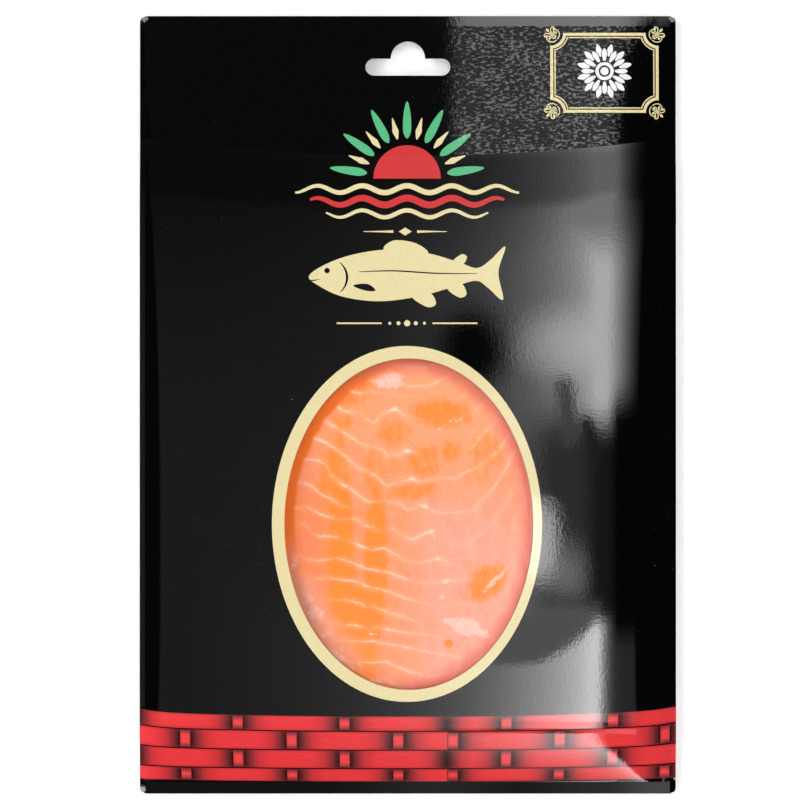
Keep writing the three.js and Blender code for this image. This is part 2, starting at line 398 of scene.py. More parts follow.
def rosette():
    """A round flower with two rows of petals, dark round their edges."""
    centre = np.array(FRAME["centre"]) + (0, 0.6)
    petals = 12
    shapes = []
    for inner, outer, half, shift in ((5.6, 10.4, 1.05, 15), (3.4, 8.6, 0.95, 0)):
        widest = outer * 0.78
        dark = petal(inner - 0.4, outer + 0.3, half + 0.28, widest)
        light = petal(inner, outer, half, widest)
        for k in range(petals):
            angle = shift + 360 * k / petals
            shapes += [(BLACK, turned(dark, angle)), (WHITE, turned(light, angle))]
    for ink, radius, steps in ((BLACK, 3.9, 48), (WHITE, 3.4, 48), (BLACK, 2.2, 36), (WHITE, 1.5, 32)):
        shapes.append((ink, circle((0, 0), radius, steps)))
    return [(ink, centre + shape) for ink, shape in shapes]


# ---- The unfolded board, cut out and folded ----

CREASE_X = HALF_WIDTH - FOLD_STRIP
STRIP_FALL = 0.28  # slope of the narrow strip outside a side crease


def fold_radius(thickness, half):
    """Radius of a side fold that takes over where the falling strip meets it."""
    strip = np.maximum(half - CREASE_X, 0)
    return np.minimum((thickness - STRIP_FALL * strip) / (2 - STRIP_FALL), thickness / 2)


def way_round(thickness):
    """Along the board from the middle of the front, round a fold, to the middle of the back."""
    radius = fold_radius(thickness, HALF_WIDTH)
    return 2 * (HALF_WIDTH - radius) + math.pi * radius


ROUND_OPEN = way_round(SIDE_FOLD)
ROUND_PRESSED = way_round(PRESSED)
OUTER_END = ROUND_OPEN - SEAM_X  # the unfolded board's right and left ends
INNER_END = -(ROUND_PRESSED + SEAM_X)


def board_outline():
    """The unfolded board, with a glue flap at its left end."""
    flap_end = INNER_END - FLAP
    flap_top = HEADER_Y - 14
    flap_bottom = BOTTOM_CREASE + 9
    bevel = 9
    return np.array([
        (INNER_END, -HALF_LENGTH), (OUTER_END, -HALF_LENGTH), (OUTER_END, HALF_LENGTH),
        (INNER_END, HALF_LENGTH), (INNER_END, flap_top), (flap_end, flap_top - bevel),
        (flap_end, flap_bottom + bevel), (INNER_END, flap_bottom),
    ])


def flap_offset(s, y):
    """How far the glue flap lies inside the board that covers it."""
    across_run, end_run = 5, 8
    into_flap = ramp((INNER_END + across_run - s) / across_run)
    clear_of_header = ramp((HEADER_Y - end_run - y) / end_run)
    clear_of_bottom = ramp((y - BOTTOM_CREASE - 3) / end_run)
    return (BOARD + 0.05) * into_flap * (clear_of_header * clear_of_bottom)


def folded(s, y):
    """The outer face's point for a place on the unfolded board: s across, from the front's middle."""
    half = sleeve_half_width(y)
    radius = fold_radius(front_z(half, y) - back_z(half, y), half)
    reach = half - radius
    side = np.sign(s)
    angle = np.clip((np.abs(s) - reach) / radius, 0, math.pi)
    on_back = np.maximum(np.abs(s) - reach - math.pi * radius, 0)
    x_flat = np.where(on_back > 0, side * (reach - on_back), np.clip(s, -reach, reach))
    x = np.where((angle > 0) & (angle < math.pi), side * (reach + radius * np.sin(angle)), x_flat)
    strip_fall = STRIP_FALL * np.maximum(np.abs(x_flat) - CREASE_X, 0)
    z_front = front_z(x_flat, y) + waviness(x_flat, y) - strip_fall
    z_edge = back_z(half, y) + radius * (1 + np.cos(angle))
    z = np.where(angle <= 0, z_front, np.where(angle >= math.pi, back_z(x_flat, y), z_edge))
    return np.stack([x, y + 0 * x, z], -1)


def outward(surface, u, v, step=0.02):
    """Unit normals of a surface that is given as a function of two coordinates."""
    along_u = surface(u + step, v) - surface(u - step, v)
    along_v = surface(u, v + step) - surface(u, v - step)
    normals = np.cross(along_u, along_v)
    return normals / np.linalg.norm(normals, axis=-1, keepdims=True)


def spread(edges_and_steps):
    """Values from edge to edge, with a step of its own in each stretch."""
    stretches = [np.arange(start, end - step / 2, step) for start, end, step in edges_and_steps]
    return np.concatenate(stretches + [[edges_and_steps[-1][1]]])


def board_grid():
    """Points that the board can bend at, closest together in its folds."""
    coarse, medium, fine = 2.6, 1.2, 0.4
    flat_end = 80
    fold_start, fold_end = CREASE_X - 1, ROUND_OPEN - CREASE_X
    s = spread([
        (INNER_END - FLAP, INNER_END, coarse), (INNER_END, -fold_end, coarse),
        (-fold_end, -fold_start, fine), (-fold_start, -flat_end, medium), (-flat_end, flat_end, coarse),
        (flat_end, fold_start, medium), (fold_start, fold_end, fine), (fold_end, OUTER_END, coarse),
    ])
    bend_start, bend_end = HEADER_Y - 3, HEADER_Y + HEADER_BOW + 2
    y = spread([
        (-HALF_LENGTH, -HALF_LENGTH + 2, 0.5), (-HALF_LENGTH + 2, BOTTOM_CREASE - HALF_CREASE, 1),
        (BOTTOM_CREASE - HALF_CREASE, BOTTOM_CREASE + HALF_CREASE, HALF_CREASE),
        (BOTTOM_CREASE + HALF_CREASE, BAND_ROWS[-1], 1.6), (BAND_ROWS[-1], bend_start, coarse),
        (bend_start, bend_end, medium), (bend_end, HALF_LENGTH - 4, coarse),
        (HALF_LENGTH - 4, HALF_LENGTH, 0.5),
    ])
    return np.stack(np.meshgrid(s, y), -1).reshape(-1, 2)


def counter_clockwise(outline):
    x, y = outline[:, 0], outline[:, 1]
    area = np.sum(x * np.roll(y, -1) - y * np.roll(x, -1))
    return outline if area > 0 else outline[::-1]


def with_short_edges(outline, longest=2.6):
    """The same outline, its straight edges split so that they can follow a fold."""
    pieces = []
    for start, end in zip(outline, np.roll(outline, -1, axis=0)):
        count = max(1, math.ceil(np.linalg.norm(end - start) / longest))
        pieces.append(start + (end - start) * np.linspace(0, 1, count, endpoint=False)[:, None])
    return np.concatenate(pieces)


def cut_board(layers, grid):
    """Triangles of the printed, die-cut board: their corners, and each one's ink."""
    corners = []
    outlines = []
    for _, outline in layers:
        outline = with_short_edges(counter_clockwise(outline))
        outlines.append(list(range(len(corners), len(corners) + len(outline))))
        corners += [Vector(point) for point in outline]
    corners += [Vector(point) for point in grid]
    inside = 1
    points, _, faces, _, _, sources = geometry.delaunay_2d_cdt(corners, [], outlines, inside, 1e-4, True)
    inks = [layers[max(source)][0] if source else HOLE for source in sources]
    kept = [(face, ink) for face, ink in zip(faces, inks) if ink != HOLE]
    used = sorted({corner for face, _ in kept for corner in face})
    new_index = {old: new for new, old in enumerate(used)}
    flat = np.array([points[i] for i in used])
    return flat, [[new_index[i] for i in face] for face, _ in kept], [ink for _, ink in kept]


def board_layers():
    """Inks and holes with their outlines, each over the ones before it."""
    glued_strip = rectangle(INNER_END, -HALF_LENGTH, OUTER_END, BOTTOM_CREASE - HALF_CREASE)
    layers = [(BLACK, board_outline()), (BLACK, glued_strip)]
    prints = (band_print, ring_print, sun_emblem, divider, fish_emblem, dotted_rule, header_frame, rosette)
    for fields in prints:
        layers += fields()
    hole = hang_hole_outline()
    hole_in_back = hole * (-1, 1) + (ROUND_PRESSED, 0)
    return layers + [(HOLE, ellipse(WINDOW[:2], WINDOW[2:])), (HOLE, hole), (HOLE, hole_in_back)]


def smooth_mesh(name, corners, faces):
    """A smooth-shaded mesh, its corners given in millimetres."""
    mesh = bpy.data.meshes.new(name)
    mesh.from_pydata((corners * MM).tolist(), [], faces)
    mesh.polygons.foreach_set("use_smooth", [True] * len(mesh.polygons))
    return mesh


def new_object(name, data):
    """An object in the scene that shows a mesh, a light or a camera."""
    made = bpy.data.objects.new(name, data)
    bpy.context.scene.collection.objects.link(made)
    return made


def open_edges(triangles):
    """The edges that only one triangle has, in its own direction."""
    edges = {}
    for a, b, c in triangles:
        for start, end in ((a, b), (b, c), (c, a)):
            if (end, start) in edges:
                del edges[end, start]
            else:
                edges[start, end] = True
    return list(edges)


def rim_normals(corners):
    """The normals of the cut edges' faces, once for each of their four corners."""
    faces = corners.reshape(-1, 4, 3)
    normals = np.cross(faces[:, 1] - faces[:, 0], faces[:, 3] - faces[:, 0])
    return np.repeat(normals / np.linalg.norm(normals, axis=1)[:, None], 4, axis=0)


def fold_board(name, materials):
    """The printed board, folded, with its bare inside and cut edges."""
    flat, faces, inks = cut_board(board_layers(), board_grid())
    s, y = flat[:, 0], flat[:, 1]
    within_ends = HALF_LENGTH - 0.05
    normals = outward(folded, s, np.clip(y, -within_ends, within_ends))
    outer = folded(s, y) - normals * flap_offset(s, y)[:, None]
    inner = outer - normals * BOARD
    inner[:, 1] = np.clip(inner[:, 1], -HALF_LENGTH, HALF_LENGTH)
    corners = np.concatenate([outer, inner])
    count = len(flat)
    triangles = [tuple(face) for face in faces]
    lining = [(c + count, b + count, a + count) for a, b, c in triangles]
    rims = [(end, start, start + count, end + count) for start, end in open_edges(triangles)]
    mesh = smooth_mesh(name, corners, triangles + lining + rims)
    mesh.polygons.foreach_set("material_index", inks + [BARE] * (len(lining) + len(rims)))
    vertices = np.empty(len(mesh.loops), int)
    mesh.loops.foreach_get("vertex_index", vertices)
    unfolded = mesh.uv_layers.new(name="unfolded")
    unfolded.data.foreach_set("uv", (np.concatenate([flat, flat]) * MM)[vertices].ravel())
    corner_normals = np.concatenate([normals, -normals])[vertices]
    first_rim = 3 * (len(triangles) + len(lining))
    corner_normals[first_rim:] = rim_normals(corners[vertices[first_rim:]])
    mesh.normals_split_custom_set(corner_normals.tolist())
    for material in materials:
        mesh.materials.append(material)
    return new_object(name, mesh)


# ---- Shader building ----

class Field:
    """A value that changes over a surface: one output of a node, with arithmetic that adds Math nodes."""

    def __init__(self, tree, socket):
        self.tree = tree
        self.socket = socket

    def math(self, operation, *others):
        node = self.tree.nodes.new("ShaderNodeMath")
        node.operation = operation
        for i, value in enumerate((self,) + others):
            plug(self.tree, node.inputs[i], value)
        return Field(self.tree, node.outputs[0])

    def __add__(self, other):
        return self.math("ADD", other)

    def __sub__(self, other):
        return self.math("SUBTRACT", other)

    def __mul__(self, other):
        return self.math("MULTIPLY", other)

    def __truediv__(self, other):
        return self.math("DIVIDE", other)

    def __rsub__(self, other):
        return self.math("MULTIPLY_ADD", -1, other)

    __radd__ = __add__
    __rmul__ = __mul__

    def __abs__(self):
        return self.math("ABSOLUTE")

    def exp(self):
        return self.math("EXPONENT")

    def root(self):
        return self.math("SQRT")

    def at_least(self, limit):
        return self.math("MAXIMUM", limit)

    def at_most(self, limit):
        return self.math("MINIMUM", limit)

    def above(self, limit):
        return self.math("GREATER_THAN", limit)

    def below(self, limit):
        return self.math("LESS_THAN", limit)

    def soft(self, start, end):
        """0 at start, 1 at end, smooth between."""
        node = self.tree.nodes.new("ShaderNodeMapRange")
        node.interpolation_type = "SMOOTHSTEP"
        plug(self.tree, node.inputs["Value"], self)
        plug(self.tree, node.inputs["From Min"], start)
        plug(self.tree, node.inputs["From Max"], end)
        return Field(self.tree, node.outputs["Result"])


def plug(tree, socket, value):
    if isinstance(value, Field):
        tree.links.new(value.socket, socket)
    else:
        socket.default_value = value


def set_inputs(tree, node, inputs):
    for name, value in inputs.items():
        plug(tree, node.inputs[name], value)


def add(tree, kind, inputs=(), **settings):
    """A new node with its settings, and its inputs by name or number."""
    node = tree.nodes.new(kind)
    for name, value in settings.items():
        setattr(node, name, value)
    set_inputs(tree, node, dict(inputs))
    return node


def mix_colour(tree, factor, first, second):
    node = add(tree, "ShaderNodeMix", data_type="RGBA", clamp_factor=True)
    set_inputs(tree, node, {0: factor, 6: first, 7: second})
    return Field(tree, node.outputs[2])


def layered(tree, colour, layers):
    """A colour with others over it in turn, each with its own mask."""
    for mask, over in layers:
        colour = mix_colour(tree, mask, colour, linear(*over))
    return colour


def parts(tree, vector):
    node = add(tree, "ShaderNodeSeparateXYZ", {0: vector})
    return [Field(tree, output) for output in node.outputs]


def place(tree):
    """X, Y and Z in millimetres, in the pack's frame."""
    coordinates = add(tree, "ShaderNodeTexCoord")
    return [part / MM for part in parts(tree, Field(tree, coordinates.outputs["Object"]))]


def point(tree, x, y, z=0.0):
    return Field(tree, add(tree, "ShaderNodeCombineXYZ", {0: x, 1: y, 2: z}).outputs[0])


def noise(tree, vector, size, detail=2.0, roughness=0.5):
    """Soft noise from 0 to 1. size is its grain, in the units of the vector."""
    node = add(tree, "ShaderNodeTexNoise",
               {"Vector": vector, "Scale": 1 / size, "Detail": detail, "Roughness": roughness})
    return Field(tree, node.outputs["Fac"])


def bumped(tree, height, strength=1.0):
    """The normal of a surface with a fine relief, its height in metres."""
    node = add(tree, "ShaderNodeBump", {"Strength": strength, "Distance": 1.0, "Height": height})
    return Field(tree, node.outputs["Normal"])


def near_line(x, y, start, end, width):
    """1 on a straight line between two places and 0 from a width away, with a soft edge."""
    run = np.subtract(end, start)
    along = ((x - start[0]) * run[0] + (y - start[1]) * run[1]) / float(run @ run)
    along = along.at_most(1.0).at_least(0.0)
    off_x = x - start[0] - along * run[0]
    off_y = y - start[1] - along * run[1]
    return (off_x * off_x + off_y * off_y).root().soft(width, width * 0.65)


def near_spot(x, y, centre, radii, edge):
    """1 inside an ellipse and 0 outside it; edge is the share of its radius that is soft."""
    off_x = (x - centre[0]) / radii[0]
    off_y = (y - centre[1]) / radii[1]
    return (off_x * off_x + off_y * off_y).root().soft(1.0, 1 - edge)


def blend(first, second, share):
    """From the first value, at share 0, to the second, at share 1."""
    return first + (second - first) * share


LIGHT_LEVEL = 1.08  # light that comes back from a white surface that lies flat, as a share of screen white


def linear(red, green, blue):
    """The colour that a surface needs so that, lying flat, it shows as this 0 to 255 colour on a screen. A
    value above 255 is one that the light carries past white."""
    shares = np.array((red, green, blue)) / 255
    light = np.where(shares <= 0.04045, shares / 12.92, ((shares + 0.055) / 1.055) ** 2.4)
    return (*(light / LIGHT_LEVEL).tolist(), 1.0)


def new_material(name):
    material = bpy.data.materials.new(name)
    material.use_nodes = True
    tree = material.node_tree
    return material, tree, tree.nodes["Principled BSDF"]


def new_group(name, inputs, outputs):
    tree = bpy.data.node_groups.new(name, "ShaderNodeTree")
    for direction, sockets in (("INPUT", inputs), ("OUTPUT", outputs)):
        for socket_name, kind in sockets:
            tree.interface.new_socket(socket_name, in_out=direction, socket_type="NodeSocket" + kind)
    source = tree.nodes.new("NodeGroupInput")
    target = tree.nodes.new("NodeGroupOutput")
    return tree, {name: Field(tree, source.outputs[name]) for name, _ in inputs}, target


def use_group(tree, group, **inputs):
    node = add(tree, "ShaderNodeGroup", node_tree=group)
    for name, value in inputs.items():
        plug(tree, node.inputs[name.replace("_", " ").capitalize()], value)
    return {output.name: Field(tree, output) for output in node.outputs}


# ---- Printed board ----

PEEL = 0.005  # height of the varnish's grain, in millimetres
# Knocked places at the corners: x, y, reach, and how white they are
KNOCKS = [(-99.2, -143.6, 2.5, 0.7), (-98.5, 144.6, 3.0, 0.45), (98.8, 144.2, 2.6, 0.45)]
# The woven band's posts, and where one stands in the odd and in the even rows, left and right of the join
POST_SPACING = 39.45
HALF_POST = 1.85
POSTS_LEFT = (-43.0, -62.9)
POSTS_RIGHT = (16.7, 36.4)


def varnish_group():
    """The varnish: a fine grain all over, and flecks in the header, where the boards are glued. Lean is the
    small slope by which the header and the strip above it tip towards +Y, least at the flecks."""
    tree, given, target = new_group("varnish", [("Peel", "Float")],
                                    [("Roughness", "Float"), ("Height", "Float"), ("Lean", "Float")])
    x, y, z = place(tree)
    line = HEADER_Y + (x / HALF_WIDTH) * (x / HALF_WIDTH) * HEADER_BOW
    top_edge = noise(tree, point(tree, x, 0.0), 2.5) * 1.6 + (HALF_LENGTH - 4.6)
    in_header = y.above(line) * y.below(top_edge)
    crowd = noise(tree, point(tree, x, y), 12, 1.0) * 0.24
    flecks = (noise(tree, point(tree, x / 1.9, y), 0.95, 3.0, 0.65) + crowd).soft(0.64, 0.7)
    lean = in_header * ((HALF_LENGTH - y) * 0.001 + 0.111 - flecks * 0.085) + y.above(top_edge) * 0.03
    warp = noise(tree, point(tree, x, y, z), 9, 1.0) * 2
    lengthwise = noise(tree, point(tree, x + warp, y / 3), 1.1, 2.0, 0.65)
    crosswise = noise(tree, point(tree, x / 3, y + warp), 1.1, 2.0, 0.65)
    peel = noise(tree, point(tree, x, y, z), 1.3, 2.0) * 0.3 + lengthwise + crosswise
    roughness = noise(tree, point(tree, x, y), 18, 2.0) * 0.03 + 0.02
    set_inputs(tree, target, {"Roughness": roughness, "Height": peel * given["Peel"] * MM, "Lean": lean})
    return tree


def wear_group():
    """Board fibres that show at knocked corners, and a few specks of dust."""
    tree, given, target = new_group("wear", [("Colour", "Color")], [("Colour", "Color")])
    x, y, z = place(tree)
    where = point(tree, x, y, z)
    fibres = noise(tree, where, 0.7, 3.0, 0.7)
    scuffed = 0.0
    for knock_x, knock_y, reach, strength in KNOCKS:
        near = near_spot(x, y, (knock_x, knock_y), (reach, reach), 0.9)
        scuffed = scuffed + (near * 0.5 + fibres).soft(0.72, 0.86) * strength
    cells = add(tree, "ShaderNodeTexVoronoi", {"Vector": where, "Scale": 1 / 26, "Randomness": 1.0})
    speck = Field(tree, cells.outputs["Distance"]).below(0.009)
    shown = (scuffed + speck * 0.35).at_most(1.0)
    plug(tree, target.inputs["Colour"], mix_colour(tree, shown, given["Colour"], linear(190, 188, 184)))
    return tree


def speckled(tree, colour):
    """A printed colour with the slight unevenness of a screened ink."""
    x, y, z = place(tree)
    grain = noise(tree, point(tree, x, y, z), 0.35, 2.0)
    darker = tuple(0.86 * share for share in colour[:3]) + (1.0,)
    return mix_colour(tree, grain.soft(0.3, 0.75), colour, darker)


def varnished(name, ink, varnish, wear):
    """Ink under a gloss varnish. ink is a colour, or a function that builds one in the material's tree."""
    material, tree, shader = new_material(name)
    colour = ink(tree) if callable(ink) else speckled(tree, ink)
    finish = use_group(tree, varnish, peel=PEEL)
    vectors = {0: bumped(tree, finish["Height"]), 1: point(tree, 0.0, finish["Lean"])}
    leaning = add(tree, "ShaderNodeVectorMath", vectors, operation="ADD")
    straight = add(tree, "ShaderNodeVectorMath", {0: Field(tree, leaning.outputs[0])}, operation="NORMALIZE")
    set_inputs(tree, shader, {
        "Base Color": use_group(tree, wear, colour=colour)["Colour"], "Roughness": finish["Roughness"],
        "Normal": Field(tree, straight.outputs[0]), "IOR": 1.5,
    })
    return material


def band_place(tree):
    """Places on the unfolded board, across and along, with the band's bow at its sides taken out."""
    unfolded = add(tree, "ShaderNodeUVMap", uv_map="unfolded")
    s, y, _ = [part / MM for part in parts(tree, Field(tree, unfolded.outputs["UV"]))]
    rise = ((abs(s) - BAND_BOW["from"]) / BAND_BOW["run"]).at_least(0.0).at_most(1.0)
    rise = rise * rise * (s.above(0.0) * (BAND_BOW["right"] - BAND_BOW["left"]) + BAND_BOW["left"])
    up = (y - BAND_ROWS[0]) / (BAND_ROWS[-1] - BAND_ROWS[0])
    return s, y - rise * (up * (1 - BAND_BOW["low_share"]) + BAND_BOW["low_share"])


def woven_band(tree):
    """Flat strips that pass under upright posts, row over row, as in a basket."""
    s, y = band_place(tree)
    past_join = s.above(BAND_JOIN)
    before_join = 1 - past_join
    even = y.above(BAND_ROWS[1]) * y.below(BAND_ROWS[2]) + y.above(BAND_ROWS[3])
    odd = 1 - even
    left, right = [even * in_even + odd * in_odd for in_odd, in_even in (POSTS_LEFT, POSTS_RIGHT)]
    start = before_join * left + past_join * right
    turns = (s - start + 10.5 * POST_SPACING) / POST_SPACING
    from_post = abs(turns.math("FRACT") - 0.5) * POST_SPACING
    far = 40
    from_join = abs(s - BAND_JOIN) + HALF_POST + odd * before_join * far
    grain = noise(tree, point(tree, s, y), 0.5, 2.0)
    out = from_post.at_most(from_join) - HALF_POST + (grain - 0.5) * 3.2
    streaks = noise(tree, point(tree, s / 14, y), 0.6, 3.0)
    to_edge = abs(y - BAND_ROWS[0])
    for row_edge in BAND_ROWS[1:]:
        to_edge = to_edge.at_most(abs(y - row_edge))
    strip = layered(tree, linear(44, 20, 22), [
        (out.soft(0.0, 3.0), (122, 44, 46)), (out.soft(2.0, 6.5), (200, 54, 58)),
        (out.soft(5.0, 11), (232, 60, 64)),
        (streaks.soft(0.4, 0.75) * out.soft(2.0, 9.0) * 0.45, (204, 48, 54)),
        (to_edge.soft(1.3, 0.2) * 0.3, (150, 34, 40)),
    ])
    post = layered(tree, linear(120, 50, 52), [
        (to_edge.soft(0.5, 2.6), (238, 70, 74)),
        (from_post.soft(HALF_POST * 0.5, HALF_POST) * 0.45, (170, 50, 54)),
    ])
    clear_of_join = past_join + (s - BAND_JOIN + HALF_POST).below(0.0)
    on_post = from_post.below(HALF_POST) * to_edge.above(0.5) * clear_of_join
    shade = mix_colour(tree, on_post, strip, post)
    return mix_colour(tree, to_edge.soft(0.3, 0.16), shade, linear(52, 14, 16))


def bare_board():
    """Uncoated white board, as its cut edges and inside show."""
    material, tree, shader = new_material("bare_board")
    x, y, z = place(tree)
    fibres = noise(tree, point(tree, x, y, z * 3), 0.5, 4.0, 0.65)
    set_inputs(tree, shader, {
        "Base Color": mix_colour(tree, fibres.soft(0.3, 0.75), linear(236, 232, 220), linear(205, 198, 182)),
        "Roughness": fibres * 0.1 + 0.8, "Normal": bumped(tree, fibres * 0.05 * MM, strength=0.5),
    })
    return material


# ---- Fish ----

WHITE_LAYERS = [  # each thin white layer between two muscles, from the head end down: x, y, how plain it is
    [(-30, 14, 0), (-12, 11, 0), (0, 7, 0.6), (8, 7, 0.6), (12, 9.5, 0.5), (17, 12, 0.5), (24, 16, 0)],
    [(-23, 6.5, 1), (-19, 4.3, 0.8), (-12, 4.8, 0.3), (10, 1.5, 0), (18.5, 1.5, 0.15), (22, 5.5, 0.5),
     (25, 9, 0.3)],
    [(-28.5, 1, 1), (-23.5, -2.5, 1), (-18, -3, 0.3), (-12.8, -7, 0.6), (-9, -3, 0.5), (-5, -1.3, 1),
     (-1, -3.5, 0.6), (1, -5, 0.2), (10, -6, 0), (18, -6, 0.3), (27, -0.5, 0.3), (30, 3.5, 0.3)],
    [(-33, -4.5, 0.8), (-28, -7.5, 1), (-23, -10.5, 0.8), (-17, -14.5, 0.7), (-9, -16.5, 0.3),
     (-7, -19.5, 0.6), (-1, -17, 1), (2, -17.5, 0.6), (6, -19, 0), (20, -18, 0), (24, -15.5, 0.4),
     (26, -12.5, 0.7), (31, -7.5, 0.3), (34, -2, 0.3)],
    [(-36, -11.5, 1), (-31, -13.5, 1), (-24, -18, 0.8), (-19, -22.8, 0.9), (-12, -26, 0.6),
     (-8.5, -30, 0.5), (-1, -28, 0.6), (1.5, -27.3, 1), (4.5, -28.5, 0.5), (12, -27, 0.45), (18, -27, 0.5),
     (23, -24, 0.5), (27, -22, 0.3), (33, -17.5, 0.6), (38, -10.5, 0.6)],
    [(-39, -20, 1), (-33, -20.5, 1), (-30, -22, 0.4), (-29.3, -25.3, 0.3), (-25, -29, 1),
     (-20, -31.8, 0.9), (-15, -36, 0.7), (-9, -35.5, 0.2), (-4, -36, 0.6), (0.5, -39, 0.8), (4, -37, 0.7),
     (6.5, -37.5, 1), (10, -39.5, 0.5), (16, -40, 0.4), (23, -39.5, 0.5), (31, -31.5, 0.35),
     (36, -24, 0.7), (39.5, -17, 0.6)],
    [(-41.5, -28, 0.7), (-36, -29.5, 1), (-32.3, -33, 0.6), (-28, -35, 0.9), (-25, -37, 0.6),
     (-21, -38.5, 0), (0, -43, 0), (20, -45, 0), (28, -40.5, 0), (33, -35, 0), (40, -24, 0)],
    [(-43, -38, 0.6), (-37, -38, 0.6), (-31, -41, 0.8), (-26, -42.3, 0.4), (-22, -42, 0.2),
     (-19.5, -42, 0.7), (-16, -44.3, 1), (-11, -46.3, 0.5), (-8.5, -46, 0), (-6.5, -44.8, 0.4),
     (-3, -48, 0.5), (2, -50, 0.8), (6, -47.5, 0.9), (9, -46.5, 0.7), (11, -50, 0.1), (18, -52, 0.2),
     (24, -50.5, 0.4), (33, -41, 0.2), (40, -31, 0.4)],
    [(-42, -43.8, 0.4), (-38, -44, 0.4), (-35, -48, 0.2), (-33, -48.7, 0.8), (-27, -48.7, 0.6),
     (-23, -50, 0.1), (-20, -51, 0.8), (-17, -52.5, 1), (-14, -53.5, 0.3), (-9, -53, 0.9),
     (-6, -54.5, 0.9), (-1, -57.5, 0.5), (5, -58.5, 0.4), (11, -56.5, 0.8), (15, -58.3, 0.4), (22, -60, 0),
     (30, -58, 0), (40, -45, 0)],
    [(-44, -54, 0), (-39, -57, 0.5), (-33, -57.7, 0.8), (-27, -56.8, 0.2), (-24, -57, 0.8), (-19, -59, 1),
     (-15, -60.7, 0.6), (-7, -62, 0.9), (-1.5, -64, 0.8), (2, -65.5, 0.2), (8, -65.7, 0.4),
     (14.5, -65.2, 0.8), (20, -64.5, 0.3), (28, -66, 0), (40, -55, 0)],
    [(-40, -66, 0), (-36, -65, 0.4), (-30, -64, 0.5), (-20, -65.2, 0.8), (-14.5, -67.3, 0.9),
     (-7, -69, 0.7), (-1, -71.5, 0.6), (5, -73, 0.3), (13, -74.5, 0.15), (18, -73.5, 0.3), (30, -75, 0),
     (42, -65, 0)],
    [(-36, -72, 0), (-24, -72, 0.3), (-20, -72.7, 1), (-17, -73.5, 0.8), (-15, -75, 0.1),
     (-13, -74.6, 0.6), (-8, -76.5, 0.9), (-3, -78, 0.8), (3, -80, 0.3), (12, -81, 0), (40, -77, 0)],
    [(-34, -80, 0), (-23, -81.6, 0.5), (-20, -81.3, 1), (-14, -83, 0.1), (-11.5, -82, 0.4), (-8, -83, 0.9),
     (0, -84.3, 0.6), (8, -85, 0.3), (14, -86, 0.1), (25, -88, 0), (38, -84, 0)],
    [(-30, -87, 0), (-20, -87.2, 0.4), (-12, -87.5, 0.9), (0, -89.8, 0.8), (8, -91.3, 0.6),
     (24, -94.2, 0.5), (32, -92, 0)],
    [(-26, -95, 0), (-20, -95.5, 0.4), (-8, -95, 0.7), (2, -99.3, 0.9), (9, -100.5, 0.7), (18, -98, 0)],
]
BELOW_ROWS = 7  # height of the muscle bands above the first and below the last white layer
LEAST_BAND = 2.2  # least height of a muscle band between two white layers
# Soft spots: centre, half sizes, turn in degrees, strength
FAT_SPOTS = [
    (-24.5, -60, 4.6, 36, 1, 0.95), (-28, -24, 4.5, 14, -14, 0.6), (-11.8, -58, 4.0, 26, 0, 0.95),
    (-17, -80, 8, 15, 0, 0.85), (-18, -96, 7, 8, 24, 0.8), (-21, 5, 9, 5, 24, 0.6),
    (-24, -6, 4, 6, 0, 0.5), (-38.5, -61, 2, 4, 10, 0.8), (-40, -40, 3, 9, 4, 0.5),
    (-13, -24, 4, 8, -10, 0.5), (13, -3, 11, 5, -4, 0.75), (-5, -10, 6, 5, 0, 0.55),
    (6, -21, 7, 6, 20, 0.6), (16, -17, 4, 4, 0, 0.6), (29, -17, 6, 7, 35, 0.55), (26, -25, 7, 4, 20, 0.4),
    (-6, -22, 5, 4, 0, 0.4), (2, -32, 9, 3, 8, 0.6), (29, -65.5, 7.6, 5.4, 42, 0.85),
    (15, -88.3, 1.5, 1.5, 0, 0.9),
]
# Pale patches: partly paler flesh, partly painted sheen of the film where it wrinkles or stands off the
# flesh, most along the window's lower left
PALE_AND_SHEEN_SPOTS = [
    (-7.3, 9.2, 5.6, 3.6, 0, 0.85), (16, -80.3, 3.4, 1.6, -15, 0.85), (21.5, -82, 5.4, 3.4, -8, 0.95),
    (27, -84, 4, 1.6, -25, 0.85), (32, -65, 1.0, 6.0, -44, 0.8), (17.5, -5.5, 3, 1.2, 20, 0.5),
    (12, -9, 3, 1, 0, 0.4), (24, -10, 3, 1, 0, 0.4), (-12.8, -84.6, 2.0, 0.5, 4, 0.8),
    (-42, -57.5, 1.6, 3.6, -10, 0.7), (-37, -72, 2.4, 4.2, 36, 0.6), (-34, -77, 3.4, 3.0, -30, 0.75),
    (-31, -84, 2.2, 5.0, 20, 0.5), (-26, -93, 4.6, 1.6, -38, 0.8),
]
# Small knots where white layers meet on the backbone line
STARS = [
    (-5, -1.5), (-0.3, -17), (1.5, -27.3), (6.5, -37.5), (8.8, -46.7), (11, -56.8), (14, -65), (12.5, -71),
]


def row_heights(x):
    """How high each white layer lies at x, and how plain it is there."""
    heights, strengths = [], []
    for layer in WHITE_LAYERS:
        across_layer, up, plain = np.transpose(layer)
        heights.append(sum(np.interp(x + shift, across_layer, up) for shift in (-0.8, 0, 0.8)) / 3)
        strengths.append(np.interp(x, across_layer, plain))
        if len(heights) > 1:
            heights[-1] = np.minimum(heights[-1], heights[-2] - LEAST_BAND)
    return np.array(heights), np.array(strengths)


